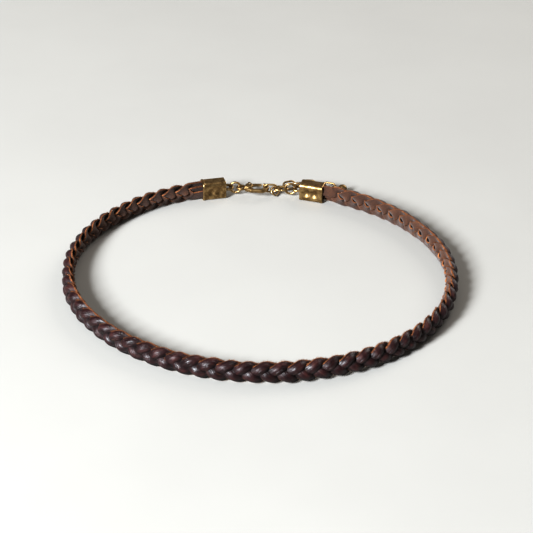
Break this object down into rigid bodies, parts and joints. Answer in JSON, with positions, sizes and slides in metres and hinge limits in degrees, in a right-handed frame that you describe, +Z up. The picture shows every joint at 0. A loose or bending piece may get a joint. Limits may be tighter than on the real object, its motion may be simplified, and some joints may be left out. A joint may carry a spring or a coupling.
{
  "type": "braided leather choker",
  "caption": "Oval neck band plaited from flat leather laces, with crimp end caps, a lobster clasp and an extender chain that ends in a bead.",
  "frame": {"origin": "on the floor under the middle of the object's outline, the plait standing on its lower edge", "axes": "+X from the clasp end cap towards the chain end cap, across the neck; -Y the front of the band; +Z up, along the neck"},
  "size_m": [0.1297, 0.127, 0.0066],
  "materials": {
    "leather": "glossy dark brown grain, orange-brown raw edges",
    "antique_brass": "antiqued, worn satin",
    "pin_steel": "satin"
  },
  "bodies": {
    "choker": {"lace_1": "leather", "lace_2": "leather", "lace_3": "leather", "end_cap_left": "antique_brass", "end_cap_right": "antique_brass"},
    "jump_ring_left": {"jump_ring_left": "antique_brass"},
    "jump_ring_right": {"jump_ring_right": "antique_brass"},
    "clasp": {"clasp_body": "antique_brass", "clasp_pin": "pin_steel"},
    "clasp_trigger": {"clasp_trigger": "antique_brass"},
    "chain_link_1": {"chain_link_1": "antique_brass"},
    "chain_link_2": {"chain_link_2": "antique_brass"},
    "chain_link_3": {"chain_link_3": "antique_brass"},
    "chain_link_4": {"chain_link_4": "antique_brass"},
    "chain_link_5": {"chain_link_5": "antique_brass"},
    "chain_link_6": {"chain_link_6": "antique_brass"},
    "chain_link_7": {"chain_link_7": "antique_brass"},
    "chain_link_8": {"chain_link_8": "antique_brass"},
    "chain_link_9": {"chain_link_9": "antique_brass"},
    "chain_drop": {"chain_drop": "antique_brass"}
  },
  "joints": [
    {"name": "closure_twist", "type": "hinge", "parent": "choker", "child": "jump_ring_right", "pos_m": [0.01001, 0.05471, 0.0033], "axis": [1, 0, 0], "range_deg": [-15, 15]},
    {"name": "chain_link_1_twist", "type": "hinge", "parent": "jump_ring_right", "child": "chain_link_1", "pos_m": [0.00658, 0.05471, 0.0033], "axis": [1, 0, 0], "range_deg": [-7.5, 7.5]},
    {"name": "chain_link_2_twist", "type": "hinge", "parent": "chain_link_1", "child": "chain_link_2", "pos_m": [0.00277, 0.05471, 0.0033], "axis": [1, 0, 0], "range_deg": [-7.5, 7.5]},
    {"name": "jump_ring_left_twist", "type": "hinge", "parent": "choker", "child": "jump_ring_left", "pos_m": [-0.01001, 0.05471, 0.0033], "axis": [1, 0, 0], "range_deg": [-15, 15]},
    {"name": "clasp_twist", "type": "hinge", "parent": "jump_ring_left", "child": "clasp", "pos_m": [-0.00783, 0.05471, 0.0033], "axis": [1, 0, 0], "range_deg": [-15, 15]},
    {"name": "trigger", "type": "hinge", "parent": "clasp", "child": "clasp_trigger", "pos_m": [-0.00494, 0.05572, 0.0033], "axis": [0, 0, -1], "range_deg": [0, 26], "stiffness_Nm_per_rad": 0.004, "springref_deg": -28.65},
    {"name": "chain_link_3_swing", "type": "hinge", "parent": "chain_link_2", "child": "chain_link_3", "pos_m": [0.00396, 0.05471, 0.00185], "axis": [0.6809, -0.2024, 0.7039], "range_deg": [-18, 30]},
    {"name": "chain_link_4_swing", "type": "hinge", "parent": "chain_link_3", "child": "chain_link_4", "pos_m": [0.00527, 0.05794, 0.0014], "axis": [0.5086, -0.4912, -0.7071], "range_deg": [-30, 12]},
    {"name": "chain_link_5_swing", "type": "hinge", "parent": "chain_link_4", "child": "chain_link_5", "pos_m": [0.00818, 0.06044, 0.0014], "axis": [0.31, -0.6355, 0.7071], "range_deg": [-25, 30]},
    {"name": "chain_link_6_swing", "type": "hinge", "parent": "chain_link_5", "child": "chain_link_6", "pos_m": [0.01174, 0.06182, 0.0014], "axis": [0.1228, -0.6964, -0.7071], "range_deg": [-30, 20]},
    {"name": "chain_link_7_swing", "type": "hinge", "parent": "chain_link_6", "child": "chain_link_7", "pos_m": [0.01552, 0.06222, 0.0014], "axis": [-0.0247, -0.7067, 0.7071], "range_deg": [-30, 30]},
    {"name": "chain_link_8_swing", "type": "hinge", "parent": "chain_link_7", "child": "chain_link_8", "pos_m": [0.01928, 0.06189, 0.0014], "axis": [-0.147, -0.6917, -0.7071], "range_deg": [-30, 30]},
    {"name": "chain_link_9_swing", "type": "hinge", "parent": "chain_link_8", "child": "chain_link_9", "pos_m": [0.02293, 0.06095, 0.0014], "axis": [-0.2418, -0.6645, 0.7071], "range_deg": [-30, 30]},
    {"name": "chain_drop_swing", "type": "hinge", "parent": "chain_link_9", "child": "chain_drop", "pos_m": [0.02642, 0.05954, 0.0014], "axis": [-0.2576, -0.6639, -0.7021], "range_deg": [-30, 30]}
  ],
  "couplings": [
    {"joint": "jump_ring_left_twist", "follows": "closure_twist", "ratio": 1},
    {"joint": "clasp_twist", "follows": "closure_twist", "ratio": 1},
    {"joint": "chain_link_1_twist", "follows": "closure_twist", "ratio": 0.5},
    {"joint": "chain_link_2_twist", "follows": "closure_twist", "ratio": 0.5}
  ]
}
